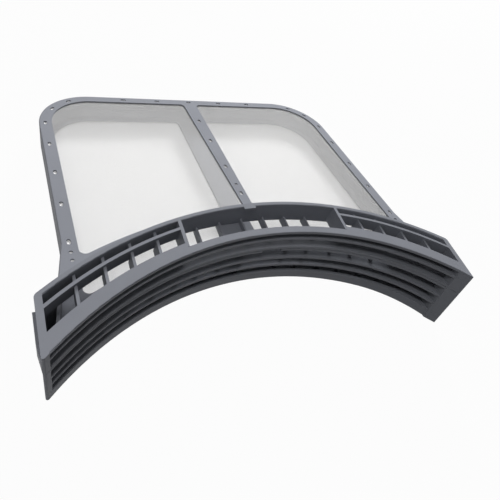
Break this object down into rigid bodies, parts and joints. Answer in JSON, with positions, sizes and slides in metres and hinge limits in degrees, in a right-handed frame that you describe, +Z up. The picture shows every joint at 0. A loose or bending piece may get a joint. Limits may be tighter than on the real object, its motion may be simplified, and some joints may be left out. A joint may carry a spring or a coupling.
{
  "type": "dryer lint filter",
  "caption": "Fold-open dryer lint filter: a curved louvred head with a top grid and finger recess, and a flat two-window mesh pocket whose halves hinge at the far edge.",
  "frame": {"origin": "middle of the box's underside, on the surface the filter rests on", "axes": "+X along the arch's chord, +Y from the louvred arch towards the hinge, +Z up out of the grid"},
  "size_m": [0.318, 0.2772, 0.06],
  "materials": {
    "grey_plastic": "moulded satin",
    "white_mesh": "fine woven mesh"
  },
  "bodies": {
    "lower_half": {"lower_frame": "grey_plastic", "lower_mesh": "white_mesh"},
    "upper_half": {"upper_frame": "grey_plastic", "upper_mesh": "white_mesh"}
  },
  "joints": [
    {"name": "fold_open", "type": "hinge", "parent": "lower_half", "child": "upper_half", "pos_m": [0, 0.13521, 0.01088], "axis": [-1, 0, 0], "range_deg": [0, 110]}
  ]
}
